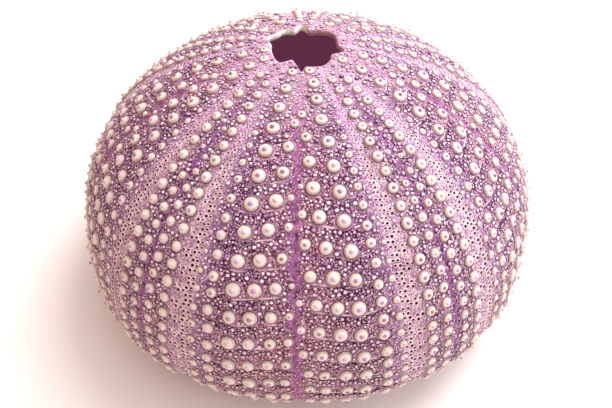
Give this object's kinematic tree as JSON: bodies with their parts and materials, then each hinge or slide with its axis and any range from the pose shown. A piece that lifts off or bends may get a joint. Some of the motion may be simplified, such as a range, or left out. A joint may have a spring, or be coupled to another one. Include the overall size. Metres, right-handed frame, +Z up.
{
  "type": "sea urchin shell",
  "caption": "Hollow domed sea urchin shell, lilac, with rows of ivory knobs, pore bands, a small star-edged hole on top and a round mouth below.",
  "frame": {"origin": "middle of the ring that the shell rests on, at the table's height", "axes": "+Z up along the shell's axis of five-fold growth, -Y towards the middle of one interambulacrum, which is turned 3.2 degrees from it towards -X"},
  "size_m": [0.0601, 0.06, 0.0342],
  "materials": {
    "shell": "matt chalky calcite, lilac to deep purple between ivory tubercles, plum inside"
  },
  "bodies": {
    "root": {"shell": "shell"}
  },
  "joints": []
}
